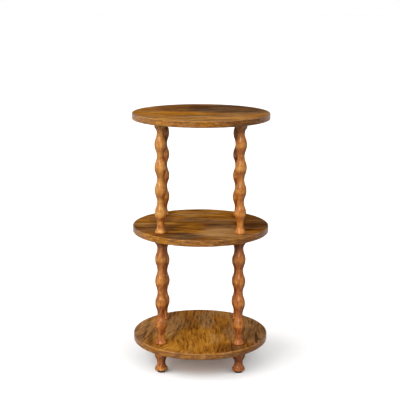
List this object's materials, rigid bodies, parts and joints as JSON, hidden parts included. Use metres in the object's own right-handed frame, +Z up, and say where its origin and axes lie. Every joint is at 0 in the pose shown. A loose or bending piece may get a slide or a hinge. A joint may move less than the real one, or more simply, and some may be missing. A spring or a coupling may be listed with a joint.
{
  "type": "tiered side table",
  "caption": "Round tiered side table: disc shelves with wood-grain finish, held apart by turned bobbin columns, standing on turned bun feet with glide pads.",
  "frame": {"origin": "on the floor, under the middle of the shelves", "axes": "+Z up along the table's centre line; -Y towards the picture's viewer; +X to the viewer's right"},
  "size_m": [0.4, 0.4, 0.75],
  "materials": {
    "shelf_laminate": "satin rustic brown wood-grain laminate",
    "edge_band": "satin wood-grain edging, rounded",
    "turned_wood": "stained orange-brown, satin lacquer",
    "glide_pad": "matt black",
    "bolt_steel": "zinc plated",
    "insert_zinc": "die-cast zinc"
  },
  "bodies": {
    "root": {"bottom_shelf": "shelf_laminate", "bottom_edge_band": "edge_band", "middle_shelf": "shelf_laminate", "middle_edge_band": "edge_band", "top_shelf": "shelf_laminate", "top_edge_band": "edge_band", "front_left_upper_column": "turned_wood", "front_right_upper_column": "turned_wood", "back_left_upper_column": "turned_wood", "back_right_upper_column": "turned_wood", "front_left_lower_column": "turned_wood", "front_right_lower_column": "turned_wood", "back_left_lower_column": "turned_wood", "back_right_lower_column": "turned_wood", "front_left_foot": "turned_wood", "front_left_glide_pad": "glide_pad", "front_right_foot": "turned_wood", "front_right_glide_pad": "glide_pad", "back_left_foot": "turned_wood", "back_left_glide_pad": "glide_pad", "back_right_foot": "turned_wood", "back_right_glide_pad": "glide_pad", "bottom_hanger_bolts": "bolt_steel", "middle_hanger_bolts": "bolt_steel", "top_hanger_bolts": "bolt_steel", "lower_column_insert_nuts": "insert_zinc", "upper_column_insert_nuts": "insert_zinc", "top_shelf_insert_nuts": "insert_zinc"}
  },
  "joints": []
}
